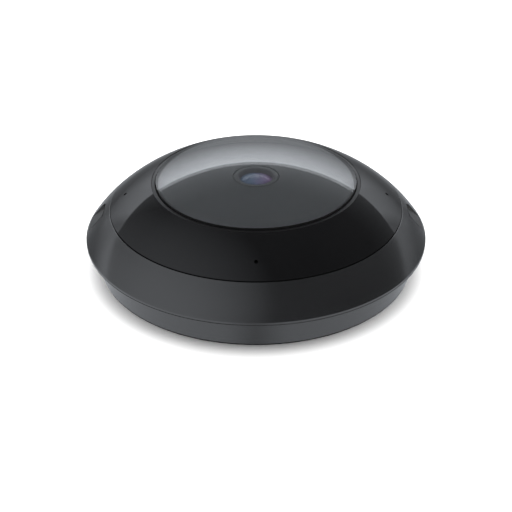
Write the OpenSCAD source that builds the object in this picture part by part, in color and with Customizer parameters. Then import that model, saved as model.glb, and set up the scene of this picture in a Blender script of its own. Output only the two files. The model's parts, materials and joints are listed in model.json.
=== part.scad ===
// Ceiling camera with a fisheye lens under a clear dome, on a twist-lock mounting plate.
// It stands as in use on a table: the mounting face is at z = 0 and the dome points up.

/* [Outer form] */
// Diameter over the rim
rim_d = 165; // [155:0.5:175]
// Width of the outer ring, from the rim to the seam of the window ring
ring_w = 12; // [11.4:0.1:12.6]
// Width of the window ring, from its outer seam to the clear dome
window_w = 22.4; // [21.4:0.1:23.4]
// Height of the rim above the mounting face
rim_h = 16.2; // [15.9:0.1:16.8]
// Slope of the skin at the edge of the dome, in degrees
dome_slope = 23.5; // [22.5:0.5:24.5]
// Slope of the skin at the seam of the outer ring, in degrees
window_slope = 41.5; // [41:0.5:43]
// Slope of the skin at the rim, in degrees
rim_slope = 56; // [55:0.5:57]
// Open seam between neighbouring outer pieces
seam = 0.2; // [0.15:0.05:0.3]

/* [Walls] */
// Thickness of the clear dome at its edge
dome_wall = 2; // [1.6:0.1:2.4]
// Thickness of the clear dome at its top
dome_crown = 3.6; // [3.2:0.1:4]
// Thickness of the window ring
window_wall = 2.2; // [1.8:0.1:2.4]
// Thickness of the outer ring
ring_wall = 3; // [2.6:0.1:3.4]
// Thickness of the wall of the base
base_wall = 2.6; // [2.2:0.1:3]
// Thickness of the floor of the base
floor_t = 2.2; // [1.8:0.1:2.6]
// Thickness of the deck of the chassis
deck_t = 2; // [1.8:0.1:2.4]
// Thickness of the large circuit boards
board_t = 1.6; // [1.2:0.1:1.8]

/* [Outer ring] */
// Width of the finger notches
notch_w = 14.5; // [12:0.5:16]
// Turn of the two finger notches from the X axis to the back, in degrees
notch_turn = 2; // [0:1:10]
// Depth of the finger notches at their inner end
notch_depth = 1.5; // [1.2:0.1:1.9]
// Height of the upright land at the rim
rim_land = 1; // [0.6:0.1:1.2]
// Thickness of the clamping flange
flange_t = 2; // [1.6:0.1:2.4]

/* [Base] */
// Distance of the foot inside the rim
foot_inset = 6.4; // [6:0.1:7]
// Growth in radius from the foot to the top of the wall
base_draft = 0.4; // [0.2:0.1:0.8]
// Depth of the rebate at the top of the wall, which makes the dark seam under the rim
base_rebate = 1.8; // [1.5:0.1:2]
// Height of that rebate
rebate_h = 1.6; // [1.2:0.1:2]
// Height of the top of the wall
base_h = 12.8; // [12.5:0.1:13]
// Height of the underside of the floor
floor_z = 8.6; // [8.4:0.1:9]
// Thickness of the base gasket
gasket_t = 0.8; // [0.6:0.1:1]

/* [Mounting plate] */
// Diameter of the circle of ceiling screws
screw_circle_d = 83.5; // [80:0.5:86]
// Diameter of a ceiling screw hole
screw_hole_d = 4.5; // [4:0.1:5]
// Width of the cable opening
cable_w = 44; // [40:0.5:46]
// Thickness of the plate
plate_t = 2; // [1.6:0.1:2.4]
// Turn that frees the camera from the plate, in degrees
unlock_angle = 20; // [18:1:24]

/* [Optics] */
// Height of the lens above the edge of the shroud
lens_proud = 2.9; // [2.4:0.1:3.4]
// Diameter of the head of the lens
lens_head_d = 21.6; // [20.6:0.2:22]
// Diameter of the screwed neck of the lens
lens_neck_d = 12; // [11:0.2:12.4]
// Depth of the shroud below the edge of the dome
shroud_depth = 2.85; // [2.7:0.05:3.2]
// Distance that the filter shuttle travels
filter_travel = 7.8; // [7.6:0.1:8]
// Length of the lever that drives the shuttle
lever_l = 9; // [8.6:0.1:9.4]

/* [Electronics] */
// Height of the main board above the floor
board_post_h = 9.8; // [9.6:0.1:10.2]
// Number of infrared lamps
lamp_count = 8; // [4:4:8]
// Distance of the microphones from the outer seam
mic_inset = 7.5; // [7:0.1:8]
// Diameter of a microphone port
mic_port_d = 1.5; // [1:0.1:1.8]
// Width of the network socket
jack_w = 16; // [15.4:0.1:16.6]
// Travel of the reset button
reset_travel = 0.5; // [0.4:0.1:0.6]

/* [Hidden] */
$fn = 96;

// Small amounts
play = 0.05;
cut = 1;
edge = 0.4;
seam_edge = 0.2;
high = 80;

// Screws: radius and height of the head, radius and length of the shank
base_screw = [2.8, 1.8, 1.5, 10];
deck_screw = [2.1, 1.2, 1, 5.5];
board_screw = [2.4, 1.1, 1.2, 8];
sensor_screw = [1.8, 1.1, 0.9, 3.4];
screw_play = 0.2;

// Outer profile: three arcs that run into each other without a kink
rim_r = rim_d / 2;
window_r = rim_r - ring_w;
dome_r = window_r - window_w;
outer_arc_r = ring_w / (sin(rim_slope) - sin(window_slope));
window_arc_r = window_w / (sin(window_slope) - sin(dome_slope));
dome_ball_r = dome_r / sin(dome_slope);
window_z = rim_h + outer_arc_r * (cos(window_slope) - cos(rim_slope));
dome_z = window_z + window_arc_r * (cos(dome_slope) - cos(window_slope));
top_z = dome_z + dome_ball_r * (1 - cos(dome_slope));
outer_c = [rim_r - outer_arc_r * sin(rim_slope), rim_h - outer_arc_r * cos(rim_slope)];
window_c = [window_r - window_arc_r * sin(window_slope), window_z - window_arc_r * cos(window_slope)];
dome_c = [0, top_z - dome_ball_r];
function arc_z(c, r, x) = c.y + sqrt(r * r - (x - c.x) * (x - c.x));
function outer_skin_z(x) = arc_z(outer_c, outer_arc_r, x);
function dome_skin_z(x) = arc_z(dome_c, dome_ball_r, x);
function window_skin_z(x) = arc_z(window_c, window_arc_r, x);
function window_under_z(x) = arc_z(window_c, window_arc_r - window_wall, x);

// Base and the stack that the base screws clamp
foot_r = rim_r - foot_inset;
foot_lift = 0.8;
base_top_r = foot_r + base_draft;
recess_r = foot_r - base_wall;
upper_r = base_top_r - 5;
floor_top = floor_z + floor_t;
flange_z = base_h + gasket_t;
clamp_z = flange_z + flange_t;
flange_in = upper_r;
flange_out = base_top_r + 0.6;
rim_under_z = rim_h - rim_land;
gasket_in = upper_r + 0.5;
gasket_out = base_top_r - base_rebate - 0.2;

// Mounting plate and its bayonet
plate_r = recess_r - 1.2;
plate_rim = 4.5;
web_z = 3;
plate_top = web_z + plate_t;
cable_corner = 10;
cable_rim = 3;
screw_pad_r = 5.5;
lug_n = 3;
lug_inset = 17.3;
lug_circle_r = plate_r - lug_inset;
lug_r = 3;
lug_slot_r = lug_r + 0.3;
lug_head_r = 5.5;
lug_head_t = 2;
lug_entry_r = lug_head_r + 0.5;
lug_tip_z = web_z - 0.4 - lug_head_t;
rib_n = 12;
rib_t = 1.6;
rib_h = 1.4;
rib_in = 30;
rib_out = lug_circle_r - lug_head_r - 3.5;

// Finger notches, measured inwards from the rim
notch_in = 8.7;
notch_out = 1.2;
notch_corner = 4;

// Window seat, dome flange and shroud
ledge_in = window_r - 2.3;
ledge_t = 1.8;
dome_gap = 0.3;
dome_edge = 0.35;
dome_under_x = dome_r - dome_wall;
dome_under_z = dome_skin_z(dome_under_x) - dome_wall;
dome_sag = top_z - dome_crown - dome_under_z;
dome_under_r = (dome_under_x * dome_under_x + dome_sag * dome_sag) / (2 * dome_sag);
dome_under_c = [0, top_z - dome_crown - dome_under_r];
window_in = dome_r + dome_gap;
window_out = window_r - seam;
window_land = 1.7;
window_step = 0.25;
land_slope = 9;
window_lip = 2;
dome_flange = 3.4;
dome_flange_r = dome_r + dome_flange;
dome_flange_t = 1.5;
dome_flange_top = window_under_z(dome_flange_r + seam) - 0.15;
dome_seat_z = dome_flange_top - dome_flange_t;
dome_gasket_t = 0.8;
shoulder_z = dome_seat_z - dome_gasket_t;
shroud_z = dome_z - shroud_depth;
shroud_t = 1.6;
shroud_r = dome_under_x - 0.4;
shroud_wall = 2;
lens_gap = 0.25;
lens_hole_r = lens_head_d / 2 + lens_gap;
lens_collar = 1.4;
shoulder_t = 1.6;
shoulder_r = dome_flange_r + 0.4;

// Main board, and the deck that stands on its cooling pad
board_z = floor_top + board_post_h;
board_top = board_z + board_t;
chip_t = 0.9;
pad_t = 0.5;
deck_z = board_top + chip_t + pad_t;
deck_top = deck_z + deck_t;
chassis_r = ledge_in - 0.5;
skirt_t = 2;
clamp_r = base_top_r - 1.6;
clamp_t = 1.6;
board_post_r = 3.2;
board_post_inset = 8;
post_r = 3.4;
post_inset = 7.7;
post_at = chassis_r - post_inset;
post_gap = 0.6;
head_well = 1.3;

// Lamp board under the window ring
lamp_board_in = shoulder_r + 0.7;
lamp_board_out = chassis_r - 1.1;
lamp_pad = 0.8;
lamp_board_z = deck_top + lamp_pad;
lamp_board_top = lamp_board_z + board_t;
lamp_r = 1.75;
lamp_t = 1.2;
boss_at = lamp_board_in + 4.5;
boss_r = 2.6;
lamp_at = boss_at + 0.9;
shroud_boss_at = shroud_r + 1.2;
mic_at = window_r - mic_inset;
mic_size = [3.8, 3, 1.1];
mic_boot_r = 2.2;
header_size = [2.4, 12];
header_at = lamp_board_in + 1.7;
header_angle = 67.5;
board_edge = 2.1;
board_r = header_at + header_size.x / 2 + board_edge;
board_post_at = board_r - board_post_inset;

// Parts on the main board
processor_w = 16;
processor_y = 20;
pad_w = 14;
memory_w = 10;
memory_d = 11;
memory_x = 18;
memory_y = 19.5;
transformer_w = 15;
transformer_d = 13;
transformer_h = 8;
transformer_corner = 1.5;
transformer_x = -26;
transformer_y = -12;
capacitor_r = 4;
capacitor_h = 8.4;
capacitor_x = 27;
capacitor_y = -15.5;
capacitor_pitch = 11;

// Flat cable of the sensor board
flex_w = 12;
flex_t = 0.3;
flex_bend_r = 1;
flex_drop_y = -21.5;
flex_socket_w = 14;
flex_socket_d = 4;
flex_socket_h = 1;
flex_socket_high_y = -15.5;
flex_socket_low_y = -28;

// Sensor stack, counted up from the deck
sensor_pad = 1.4;
sensor_z = deck_top + sensor_pad;
sensor_t = 1;
sensor_top = sensor_z + sensor_t;
sensor_w = 37;
sensor_y = [-18, 33.5];
sensor_screw_x = 16;
sensor_screw_y = [-15.5, 31];
image_chip_w = 11;
image_chip_t = 1.2;
frame_x = 14;
frame_y = [-6.5, 29.5];
frame_wall = 1.5;
frame_h = 5;
frame_top = sensor_top + frame_h;
chip_pocket_h = 1.8;
tray_z = sensor_top + chip_pocket_h + 0.6;
holder_t = 1.4;

// Filter shuttle and the lever that drives it
filter_w = 7;
filter_t = 0.5;
shuttle_t = 1.2;
shuttle_z = tray_z + 0.1;
shuttle_d = 8.9;
shuttle_l = filter_travel + filter_w + 1.9;
shuttle_x = filter_travel / 2;
pin_r = 0.75;
lever_half = asin(filter_travel / 2 / lever_l);
slot_y = 8.2;
pivot_y = slot_y + lever_l * cos(lever_half);
pivot_r = 1.2;
lever_z = shuttle_z + shuttle_t + 0.2;
lever_t = 0.7;
rotor_r = 2.6;
yoke_t = 1.2;
yoke_x = [3.1, 4.5];
yoke_y = [14, 26];
yoke_bar = 1.8;
coil_x = 2.6;
coil_wrap = 1.2;

// Lens, counted down from the shroud
lens_head_r = lens_head_d / 2;
lens_neck_r = lens_neck_d / 2;
lens_top = shroud_z + lens_proud;
lens_head_h = 4.6;
lens_head_z = lens_top - lens_head_h;
lens_rear_z = frame_top + holder_t + 0.2;
lens_bore_r = 4.4;
lens_mid_r = 5.6;
front_r = 8.7;
front_seat_z = lens_top - 3.2;
front_ball_r = 18;
front_rim_t = 0.9;
front_apex_z = lens_top - 0.3;
front_hollow_r = 7;
front_hollow_h = 1;
retainer_in = 7.6;
retainer_lip = 0.3;
retainer_top = lens_top - 0.1;
lock_t = 1.6;
lock_z = lens_head_z - 0.4 - lock_t;

// Network socket and reset button
jack_d = 14;
jack_mouth_z = floor_z;
jack_depth = 10.6;
plug_w = 11.8;
plug_y = [-3, 3.8];
latch_w = 6.4;
latch_y = -4.6;
latch_tip_w = 3.4;
latch_tip_y = -5.8;
contact_n = 8;
contact_pitch = 1.02;
contact_w = 0.44;
contact_d = 0.5;
contact_in = 2;
reset_x = 18;
reset_r = 2.2;
switch_w = 6;
switch_h = 3.6;
switch_z = board_z - switch_h;
plunger_r = 1.7;
plunger_out = 1.2;

// Colours
dark_grey = [0.13, 0.135, 0.145];
plate_grey = [0.3, 0.31, 0.32];
gloss_black = [0.02, 0.02, 0.025];
clear_glass = [0.75, 0.8, 0.82, 0.3];
rubber_black = [0.05, 0.05, 0.05];
cast_grey = [0.6, 0.61, 0.62];
board_green = [0.05, 0.23, 0.13];
chip_black = [0.07, 0.07, 0.08];
steel = [0.7, 0.71, 0.73];
gold = [0.83, 0.66, 0.3];
copper = [0.72, 0.42, 0.25];

// Building blocks
module around(n, r, first = 0) {
  for (i = [0 : n - 1])
    rotate([0, 0, first + i * 360 / n])
      translate([r, 0, 0])
        children();
}

module ring(r_in, r_out, z, h) {
  translate([0, 0, z])
    difference() {
      cylinder(r = r_out, h = h, $fn = 192);
      translate([0, 0, -cut])
        cylinder(r = r_in, h = h + 2 * cut, $fn = 192);
    }
}

module box(x, y, z) {
  translate([x[0], y[0], z[0]])
    cube([x[1] - x[0], y[1] - y[0], z[1] - z[0]]);
}

// Block that stands on height z, centred on x and y
module block(x, y, z, size) {
  translate([x, y, z])
    linear_extrude(size.z)
      square([size.x, size.y], center = true);
}

module rounded_square(w, d, r) {
  square([w - 2 * r, d], center = true);
  square([w, d - 2 * r], center = true);
  for (x = [-1, 1], y = [-1, 1])
    translate([x * (w / 2 - r), y * (d / 2 - r)])
      circle(r);
}

module strip(x, z) {
  translate([x[0], z[0]])
    square([x[1] - x[0], z[1] - z[0]]);
}

module disc_at(c, r) {
  translate(c)
    circle(r, $fn = 256);
}

// Slice of a curved wall between two distances from the axis
module arc_wall(c, r, wall, x) {
  intersection() {
    difference() {
      disc_at(c, r);
      disc_at(c, r - wall);
    }
    strip(x, [0, high]);
  }
}

// Screw with its head below z = 0 and its shank pointing up
module screw_up(size) {
  head_r = size[0];
  head_h = size[1];
  difference() {
    union() {
      translate([0, 0, -head_h])
        cylinder(r = head_r, h = head_h);
      translate([0, 0, -head_h / 2])
        cylinder(r = size[2], h = size[3] + head_h / 2);
    }
    translate([0, 0, -head_h - cut])
      cylinder(r = head_r * 0.45, h = cut + head_h * 0.6, $fn = 6);
  }
}

module screw_down(size) {
  mirror([0, 0, 1])
    screw_up(size);
}

// Mounting plate: a shallow pan on the ceiling with three keyholes for the lugs
module mount_plate() {
  color(plate_grey)
    difference() {
      union() {
        rotate_extrude($fn = 192)
          difference() {
            strip([0, plate_r], [0, plate_top]);
            strip([-cut, plate_r - plate_rim], [-cut, web_z]);
            polygon([
              [plate_r - edge, plate_top], [plate_r + cut, plate_top - edge - cut],
              [plate_r + cut, plate_top + cut], [plate_r - edge, plate_top + cut]
            ]);
          }
        linear_extrude(web_z + plate_t / 2)
          rounded_square(cable_w + 2 * cable_rim, cable_w + 2 * cable_rim, cable_corner + cable_rim);
        around(4, screw_circle_d / 2, 45)
          cylinder(r = screw_pad_r, h = web_z + plate_t / 2);
      }
      translate([0, 0, -cut])
        linear_extrude(high)
          rounded_square(cable_w, cable_w, cable_corner);
      around(4, screw_circle_d / 2, 45)
        translate([0, 0, -cut])
          cylinder(d = screw_hole_d, h = high);
      for (i = [0 : lug_n - 1])
        rotate([0, 0, 90 + i * 360 / lug_n])
          keyhole();
    }
}

module keyhole() {
  translate([lug_circle_r, 0, web_z - cut])
    cylinder(r = lug_slot_r, h = plate_t + 2 * cut);
  rotate([0, 0, unlock_angle])
    translate([lug_circle_r, 0, web_z - cut])
      cylinder(r = lug_entry_r, h = plate_t + 2 * cut);
  rotate_extrude(angle = unlock_angle, $fn = 192)
    strip([lug_circle_r - lug_slot_r, lug_circle_r + lug_slot_r], [web_z - cut, plate_top + cut]);
}

// Base shell: tapered wall, floor, bayonet lugs and the posts of the main board
module base_shell() {
  color(dark_grey)
    difference() {
      union() {
        rotate_extrude($fn = 192)
          base_section();
        around(lug_n, lug_circle_r, 90)
          bayonet_lug();
        around(4, board_post_at)
          translate([0, 0, floor_top - cut])
            cylinder(r = board_post_r, h = board_post_h + cut);
        around(rib_n, rib_in, 180 / rib_n)
          box([0, rib_out - rib_in], [-rib_t / 2, rib_t / 2], [floor_z - rib_h, floor_z + cut]);
      }
      around(4, board_post_at)
        translate([0, 0, floor_top + 1])
          cylinder(r = board_screw[2] + play, h = high);
      around(4, post_at, 45)
        translate([0, 0, floor_z - cut])
          cylinder(r = base_screw[2] + screw_play / 2, h = floor_t + 2 * cut);
      translate([0, 0, floor_z - cut])
        linear_extrude(floor_t + 2 * cut)
          square([jack_w + 0.4, jack_d + 0.4], center = true);
      translate([reset_x, 0, floor_z - cut])
        cylinder(r = reset_r + play, h = floor_t + 2 * cut);
    }
}

module base_section() {
  polygon([
    [recess_r, foot_lift], [foot_r, foot_lift], [base_top_r, base_h - rebate_h],
    [base_top_r - base_rebate, base_h - rebate_h], [base_top_r - base_rebate, base_h],
    [upper_r, base_h], [upper_r, floor_top], [0, floor_top], [0, floor_z], [recess_r, floor_z]
  ]);
}

module bayonet_lug() {
  translate([0, 0, lug_tip_z + lug_head_t / 2])
    cylinder(r = lug_r, h = floor_z - lug_tip_z);
  translate([0, 0, lug_tip_z])
    cylinder(r1 = lug_head_r - edge, r2 = lug_head_r, h = edge);
  translate([0, 0, lug_tip_z + edge])
    cylinder(r = lug_head_r, h = lug_head_t - edge);
}

module base_gasket() {
  color(rubber_black)
    ring(gasket_in, gasket_out, base_h, gasket_t);
}

// Outer ring: curved skin, clamping flange, seat of the window ring and two finger notches
module outer_ring() {
  color(dark_grey)
    difference() {
      rotate_extrude($fn = 256)
        outer_ring_section();
      for (side = [0, 1])
        mirror([side, 0, 0])
          rotate([0, 0, notch_turn])
            finger_notch();
    }
}

module outer_ring_section() {
  intersection() {
    difference() {
      disc_at(outer_c, outer_arc_r);
      disc_at(outer_c, outer_arc_r - ring_wall);
    }
    polygon([
      [window_r, rim_under_z], [rim_r, rim_under_z], [rim_r, high], [window_r + seam_edge, high],
      [window_r + seam_edge, outer_skin_z(window_r + seam_edge)],
      [window_r, outer_skin_z(window_r) - seam_edge]
    ]);
  }
  polygon([
    [flange_in, flange_z], [flange_out, flange_z], [rim_r - edge, rim_under_z - edge],
    [rim_r, rim_under_z], [rim_r - 1, rim_under_z + 0.4], [rim_r - ring_wall - 1, rim_under_z + 0.4],
    [flange_out - 1, clamp_z], [flange_in, clamp_z]
  ]);
  intersection() {
    arc_wall(window_c, window_arc_r - window_wall - play, ledge_t, [ledge_in, window_r + 1.5]);
    disc_at(outer_c, outer_arc_r - 0.6);
  }
}

// A notch has a straight inner end, and its floor runs out from there to the skin near the rim
module finger_notch() {
  top_x = rim_r - notch_in;
  end_x = rim_r - notch_out;
  top_slope = asin((top_x - outer_c.x) / outer_arc_r);
  top = [top_x, outer_skin_z(top_x)];
  deep = top - notch_depth * [sin(top_slope), cos(top_slope)];
  run = [end_x, outer_skin_z(end_x)] - deep;
  begin = deep - 0.2 * run;
  end = deep + 1.4 * run;
  length = 2 * notch_in;
  intersection() {
    rotate_extrude($fn = 256)
      polygon([begin, end, [end.x, high], [begin.x, high]]);
    translate([top.x, 0, top.y])
      rotate([0, top_slope, 0])
        translate([length / 2, 0, -length / 2])
          linear_extrude(length)
            rounded_square(length, notch_w, notch_corner);
  }
}

// Window ring: dark window over the infrared lamps, with the microphone ports
module window_ring() {
  color(gloss_black)
    difference() {
      union() {
        rotate_extrude($fn = 256)
          window_section();
        around(4, boss_at)
          intersection() {
            translate([0, 0, deck_top])
              cylinder(r = boss_r, h = high);
            translate([-boss_at, 0, 0])
              under_window(-window_wall / 2);
          }
      }
      around(4, boss_at)
        translate([0, 0, deck_top - cut])
          cylinder(r = deck_screw[2] + play, h = deck_screw[3] + 0.5 + cut);
      around(4, mic_at)
        translate([0, 0, window_skin_z(mic_at)])
          rotate([0, asin((mic_at - window_c.x) / window_arc_r), 0])
            cylinder(d = mic_port_d, h = 3 * window_wall, center = true);
    }
}

// The inner edge steps down to a flatter land around the dome
module window_section() {
  land_x = window_in + window_land;
  land_z = window_skin_z(land_x) - window_step;
  land_rise = tan(land_slope) * (window_land + cut);
  difference() {
    union() {
      arc_wall(window_c, window_arc_r, window_wall, [window_in, window_out]);
      strip([window_in, window_in + window_lip], [dome_flange_top, dome_z - window_wall / 2 - 0.7]);
    }
    polygon([
      [window_in - cut, land_z + land_rise], [land_x - window_step, land_z],
      [land_x, window_skin_z(land_x)], [land_x, high], [window_in - cut, high]
    ]);
  }
}

// Space below the window ring, kept a small gap away from it
module under_window(gap) {
  rotate_extrude($fn = 256)
    intersection() {
      disc_at(window_c, window_arc_r - window_wall - gap);
      strip([window_in, window_out], [0, high]);
    }
}

// Clear dome with a skirt and a flange that the window ring holds down
module dome_cover() {
  color(clear_glass)
    rotate_extrude($fn = 256)
      difference() {
        union() {
          intersection() {
            difference() {
              disc_at(dome_c, dome_ball_r);
              disc_at(dome_under_c, dome_under_r);
            }
            strip([0, dome_r], [0, high]);
          }
          strip([dome_under_x, dome_r], [dome_seat_z, dome_z - dome_wall / 2]);
          strip([dome_under_x, dome_flange_r], [dome_seat_z, dome_flange_top]);
        }
        polygon([
          [dome_r - dome_edge, dome_skin_z(dome_r - dome_edge)], [dome_r, dome_z - dome_edge],
          [dome_r + cut, dome_z - dome_edge], [dome_r + cut, high], [dome_r - dome_edge, high]
        ]);
      }
}

module dome_gasket() {
  color(rubber_black)
    ring(shroud_r + 0.8, dome_flange_r - 0.3, shoulder_z, dome_gasket_t);
}

// Shroud: the dark cone seen under the dome, on a drum that stands on the deck
module lens_shroud() {
  color(chip_black)
    difference() {
      union() {
        rotate_extrude($fn = 192)
          shroud_section();
        around(4, shroud_boss_at, 45)
          translate([0, 0, deck_top])
            cylinder(r = 2.4, h = shoulder_z - shoulder_t / 2 - deck_top);
      }
      around(4, shroud_boss_at, 45)
        translate([0, 0, deck_top - cut])
          cylinder(r = deck_screw[2] + play, h = deck_screw[3] + 0.5 + cut);
    }
}

// The cone rises from the dome's edge to the lens, which lies flush in it
module shroud_section() {
  polygon([
    [lens_hole_r, lens_top - shroud_t], [shroud_r, shroud_z - shroud_t], [shroud_r, shroud_z - edge],
    [shroud_r - edge, shroud_z], [lens_hole_r, lens_top]
  ]);
  strip([lens_hole_r, lens_hole_r + lens_collar], [lens_head_z - 1, lens_top - shroud_t / 2]);
  strip([shroud_r - shroud_wall, shroud_r], [shoulder_z - shoulder_t, shroud_z - shroud_t / 2]);
  strip([shroud_r - shroud_wall, shoulder_r], [shoulder_z - shoulder_t, shoulder_z]);
  strip([shoulder_r - shroud_wall, shoulder_r], [deck_top, shoulder_z - shoulder_t / 2]);
}

// Chassis: cast deck with a skirt on the outer ring's flange and posts on the base
module chassis() {
  color(cast_grey)
    difference() {
      union() {
        rotate_extrude($fn = 192)
          chassis_section();
        around(4, post_at, 45) {
          translate([0, 0, floor_top])
            cylinder(r = post_r, h = deck_z + deck_t / 2 - floor_top);
          box([0, chassis_r - skirt_t / 2 - post_at], [-1, 1], [clamp_z, deck_z + deck_t / 2]);
        }
        around(8, (lamp_board_in + lamp_board_out) / 2, 22.5)
          translate([0, 0, deck_top - cut])
            cylinder(r = 2.2, h = lamp_pad + cut);
        sensor_corners()
          translate([0, 0, deck_top - cut])
            cylinder(r = 2.6, h = sensor_pad + cut);
      }
      around(4, post_at, 45)
        translate([0, 0, floor_top - cut])
          cylinder(r = base_screw[2] + play, h = base_screw[3] - 1 + cut);
      around(4, boss_at)
        screw_well();
      around(4, shroud_boss_at, 45)
        screw_well();
      sensor_corners()
        translate([0, 0, deck_z + 0.6])
          cylinder(r = sensor_screw[2] + play, h = high);
      rotate([0, 0, header_angle])
        translate([header_at, 0, deck_z - cut])
          linear_extrude(deck_t + 2 * cut)
            square(header_size + [0.6, 0.6], center = true);
      block(0, flex_drop_y, deck_z - cut, [flex_w + 2, 3.4, deck_t + 2 * cut]);
    }
}

module chassis_section() {
  strip([0, chassis_r], [deck_z, deck_top]);
  strip([chassis_r - skirt_t, chassis_r], [clamp_z, deck_z + deck_t / 2]);
  strip([chassis_r - skirt_t, clamp_r], [clamp_z, clamp_z + clamp_t]);
}

module screw_well() {
  translate([0, 0, deck_z - cut]) {
    cylinder(r = deck_screw[2] + screw_play, h = deck_t + 2 * cut);
    cylinder(r = deck_screw[0] + screw_play, h = head_well + cut);
  }
}

module sensor_corners() {
  for (x = [-1, 1], y = sensor_screw_y)
    translate([x * sensor_screw_x, y, 0])
      children();
}

module base_screws() {
  color(steel)
    around(4, post_at, 45)
      translate([0, 0, floor_z])
        screw_up(base_screw);
}

module window_screws() {
  color(steel)
    around(4, boss_at)
      translate([0, 0, deck_z + head_well])
        screw_up(deck_screw);
}

module shroud_screws() {
  color(steel)
    around(4, shroud_boss_at, 45)
      translate([0, 0, deck_z + head_well])
        screw_up(deck_screw);
}

// Main board with scallops for the posts of the chassis
module main_board() {
  color(board_green)
    difference() {
      translate([0, 0, board_z])
        cylinder(r = board_r, h = board_t, $fn = 192);
      around(4, board_post_at)
        translate([0, 0, board_z - cut])
          cylinder(r = board_screw[2] + screw_play, h = board_t + 2 * cut);
      around(4, post_at, 45)
        translate([0, 0, board_z - cut])
          cylinder(r = post_r + post_gap, h = board_t + 2 * cut);
    }
}

module board_screws() {
  color(steel)
    around(4, board_post_at)
      translate([0, 0, board_top])
        screw_down(board_screw);
}

module processor() {
  color(chip_black)
    block(0, processor_y, board_top, [processor_w, processor_w, chip_t]);
}

module thermal_pad() {
  color([0.75, 0.78, 0.82])
    block(0, processor_y, board_top + chip_t, [pad_w, pad_w, pad_t]);
}

module memory_chips() {
  color(chip_black)
    for (x = [-memory_x, memory_x])
      block(x, memory_y, board_top, [memory_w, memory_d, chip_t]);
}

// Network socket under the main board, with its mouth in the floor of the base
module network_jack() {
  color(chip_black)
    difference() {
      block(0, 0, jack_mouth_z, [jack_w, jack_d, board_z - jack_mouth_z]);
      translate([0, 0, jack_mouth_z - cut])
        linear_extrude(jack_depth + cut) {
          strip([-plug_w / 2, plug_w / 2], plug_y);
          strip([-latch_w / 2, latch_w / 2], [latch_y, 0]);
          strip([-latch_tip_w / 2, latch_tip_w / 2], [latch_tip_y, 0]);
        }
    }
}

module jack_contacts() {
  color(gold)
    for (i = [0 : contact_n - 1])
      translate([(i - (contact_n - 1) / 2) * contact_pitch, plug_y[1], jack_mouth_z])
        box([-contact_w / 2, contact_w / 2], [-contact_d, 0], [contact_in, jack_depth]);
}

module power_transformer() {
  color(copper)
    translate([transformer_x, transformer_y, board_z - transformer_h])
      linear_extrude(transformer_h)
        rounded_square(transformer_w, transformer_d, transformer_corner);
}

module capacitors() {
  color(chip_black)
    for (side = [-1, 1])
      translate([capacitor_x, capacitor_y + side * capacitor_pitch / 2, board_z - capacitor_h])
        cylinder(r = capacitor_r, h = capacitor_h);
}

module reset_switch() {
  color(steel)
    translate([reset_x, 0, 0])
      difference() {
        block(0, 0, switch_z, [switch_w, switch_w, switch_h]);
        translate([0, 0, switch_z - cut])
          cylinder(r = plunger_r + play, h = cut + 2);
      }
}

module reset_plunger() {
  color(chip_black)
    translate([reset_x, 0, switch_z - plunger_out])
      cylinder(r = plunger_r, h = plunger_out + 1.9 - reset_travel - 0.2);
}

module reset_button() {
  color(dark_grey)
    translate([reset_x, 0, 0]) {
      translate([0, 0, floor_z - 0.8])
        cylinder(r = reset_r, h = floor_t + 1.2);
      translate([0, 0, floor_top + 0.1])
        cylinder(r = reset_r + 1, h = 1.2);
      translate([0, 0, floor_top + 0.8])
        cylinder(r = 1.5, h = switch_z - plunger_out - floor_top - 0.8);
    }
}

module lamp_board() {
  color(board_green)
    difference() {
      ring(lamp_board_in, lamp_board_out, lamp_board_z, board_t);
      around(4, boss_at)
        translate([0, 0, lamp_board_z - cut])
          cylinder(r = boss_r + 0.3, h = board_t + 2 * cut);
    }
}

module lamp_header() {
  color(chip_black)
    rotate([0, 0, header_angle])
      translate([header_at, 0, board_top])
        linear_extrude(lamp_board_z - board_top)
          square(header_size, center = true);
}

module infrared_lamps() {
  color([0.85, 0.85, 0.8])
    around(lamp_count, lamp_at, 22.5)
      translate([0, 0, lamp_board_top]) {
        box([-lamp_r, lamp_r], [-lamp_r, lamp_r], [0, lamp_t]);
        translate([0, 0, lamp_t])
          intersection() {
            sphere(r = lamp_r - 0.15);
            cylinder(r = lamp_r, h = lamp_r);
          }
      }
}

module microphones() {
  color(gold)
    around(4, mic_at)
      translate([-mic_size.x / 2, -mic_size.y / 2, lamp_board_top])
        cube(mic_size);
}

module mic_boots() {
  color(rubber_black)
    difference() {
      intersection() {
        around(4, mic_at)
          translate([0, 0, lamp_board_top + mic_size.z])
            cylinder(r = mic_boot_r, h = high);
        under_window(0.02);
      }
      around(4, mic_at)
        translate([0, 0, lamp_board_top])
          cylinder(d = mic_port_d, h = high);
    }
}

module sensor_board() {
  color(board_green)
    difference() {
      translate([0, (sensor_y[0] + sensor_y[1]) / 2, sensor_z])
        linear_extrude(sensor_t)
          rounded_square(sensor_w, sensor_y[1] - sensor_y[0], 2);
      sensor_corners()
        translate([0, 0, sensor_z - cut])
          cylinder(r = sensor_screw[2] + screw_play, h = sensor_t + 2 * cut);
    }
}

module sensor_screws() {
  color(steel)
    sensor_corners()
      translate([0, 0, sensor_top])
        screw_down(sensor_screw);
}

module image_sensor() {
  color(chip_black)
    block(0, 0, sensor_top, [image_chip_w, image_chip_w, image_chip_t]);
}

// Two sockets of the flat cable, one on each board
module flex_connectors() {
  color(chip_black) {
    block(0, flex_socket_high_y, sensor_top, [flex_socket_w, flex_socket_d, flex_socket_h]);
    block(0, flex_socket_low_y, board_top, [flex_socket_w, flex_socket_d, flex_socket_h]);
  }
}

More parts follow.
